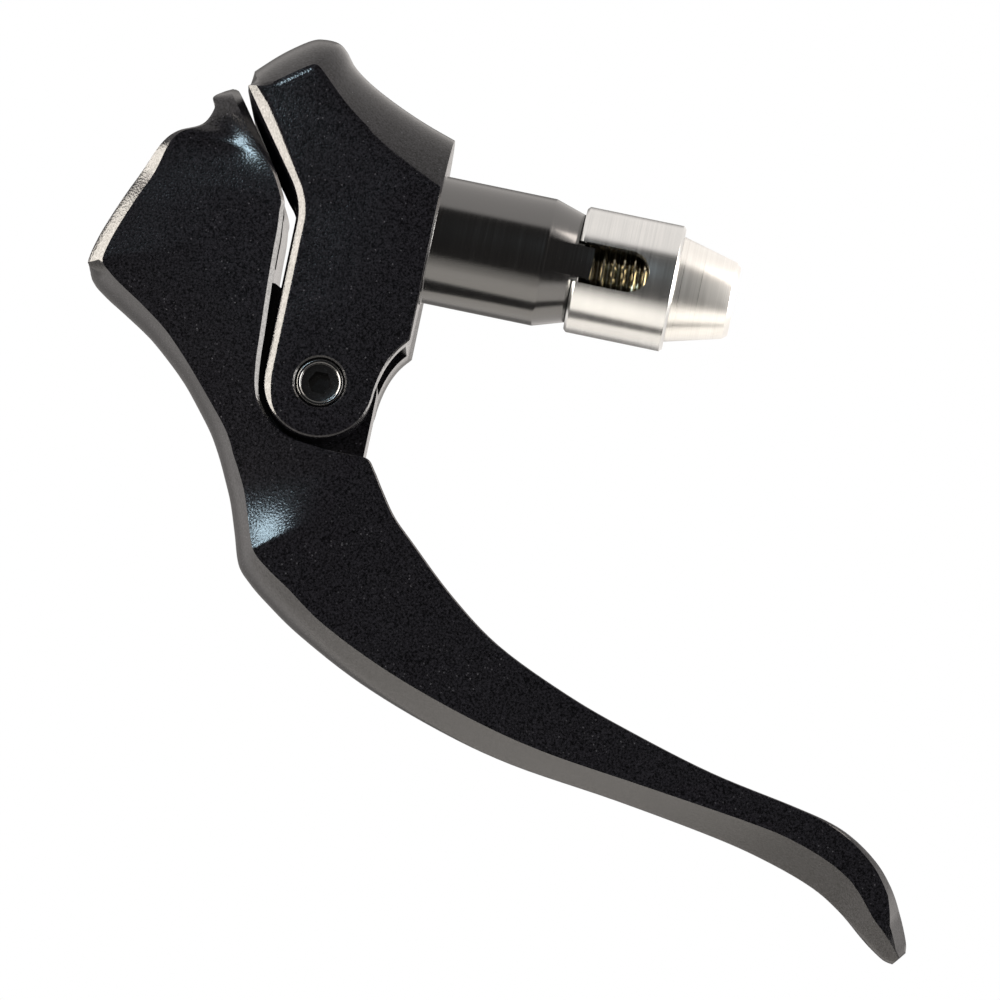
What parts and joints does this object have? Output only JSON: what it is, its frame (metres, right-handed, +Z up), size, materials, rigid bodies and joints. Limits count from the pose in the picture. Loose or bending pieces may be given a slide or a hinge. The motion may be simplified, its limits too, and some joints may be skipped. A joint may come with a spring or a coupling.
{
  "type": "bar-end clutch lever",
  "caption": "Black bar-end clutch lever: a curved blade swings in a forked bracket whose barrel plugs into a handlebar end and is held there by a slotted cone expander.",
  "frame": {"origin": "where the axis of the mounting barrel meets the flat face that stops at the end of the bar", "axes": "+X along the barrel, into the bar; +Z up, away from the blade; the lever swings about an axis along Y"},
  "size_m": [0.1346, 0.023, 0.1139],
  "materials": {
    "black_coat": "satin black powder coat with a fine grain, over forged aluminium",
    "black_anodised": "black anodised, with fine turning marks",
    "plated_steel": "yellow zinc plate",
    "bright_aluminium": "bright turned",
    "pale_aluminium": "pale satin",
    "black_steel": "black oxide",
    "bronze": "oiled sintered bronze",
    "anchor_brass": "turned brass"
  },
  "bodies": {
    "bracket_body": {"bracket": "black_coat", "mounting_barrel": "black_anodised", "bolt_washer": "plated_steel", "pivot_screw": "black_steel", "pivot_nut": "black_steel"},
    "lever_body": {"lever": "black_coat", "pivot_bush_near": "bronze", "pivot_bush_far": "bronze"},
    "anchor_body": {"cable_anchor": "anchor_brass"},
    "bolt_body": {"expander_bolt": "plated_steel"},
    "expander_body": {"expander_sleeve": "bright_aluminium", "nose_nut": "pale_aluminium"}
  },
  "joints": [
    {"name": "lever_pull", "type": "hinge", "parent": "bracket_body", "child": "lever_body", "pos_m": [-0.0113, 0, -0.0249], "axis": [0, -1, 0], "range_deg": [0, 35]},
    {"name": "anchor_turn", "type": "hinge", "parent": "lever_body", "child": "anchor_body", "pos_m": [-0.0325, 0, 0], "axis": [0, -1, 0], "range_deg": [-35.5, 0.5]},
    {"name": "bolt_turn", "type": "hinge", "parent": "bracket_body", "child": "bolt_body", "pos_m": [0, 0, 0], "axis": [-1, 0, 0], "range_deg": [0, 480]},
    {"name": "expander_slide", "type": "slide", "parent": "bracket_body", "child": "expander_body", "axis": [1, 0, 0], "range_m": [0, 0.00201]}
  ],
  "couplings": [
    {"joint": "anchor_turn", "follows": "lever_pull", "ratio": -1},
    {"joint": "expander_slide", "follows": "bolt_turn", "m_per_rad": 0.00023873}
  ]
}
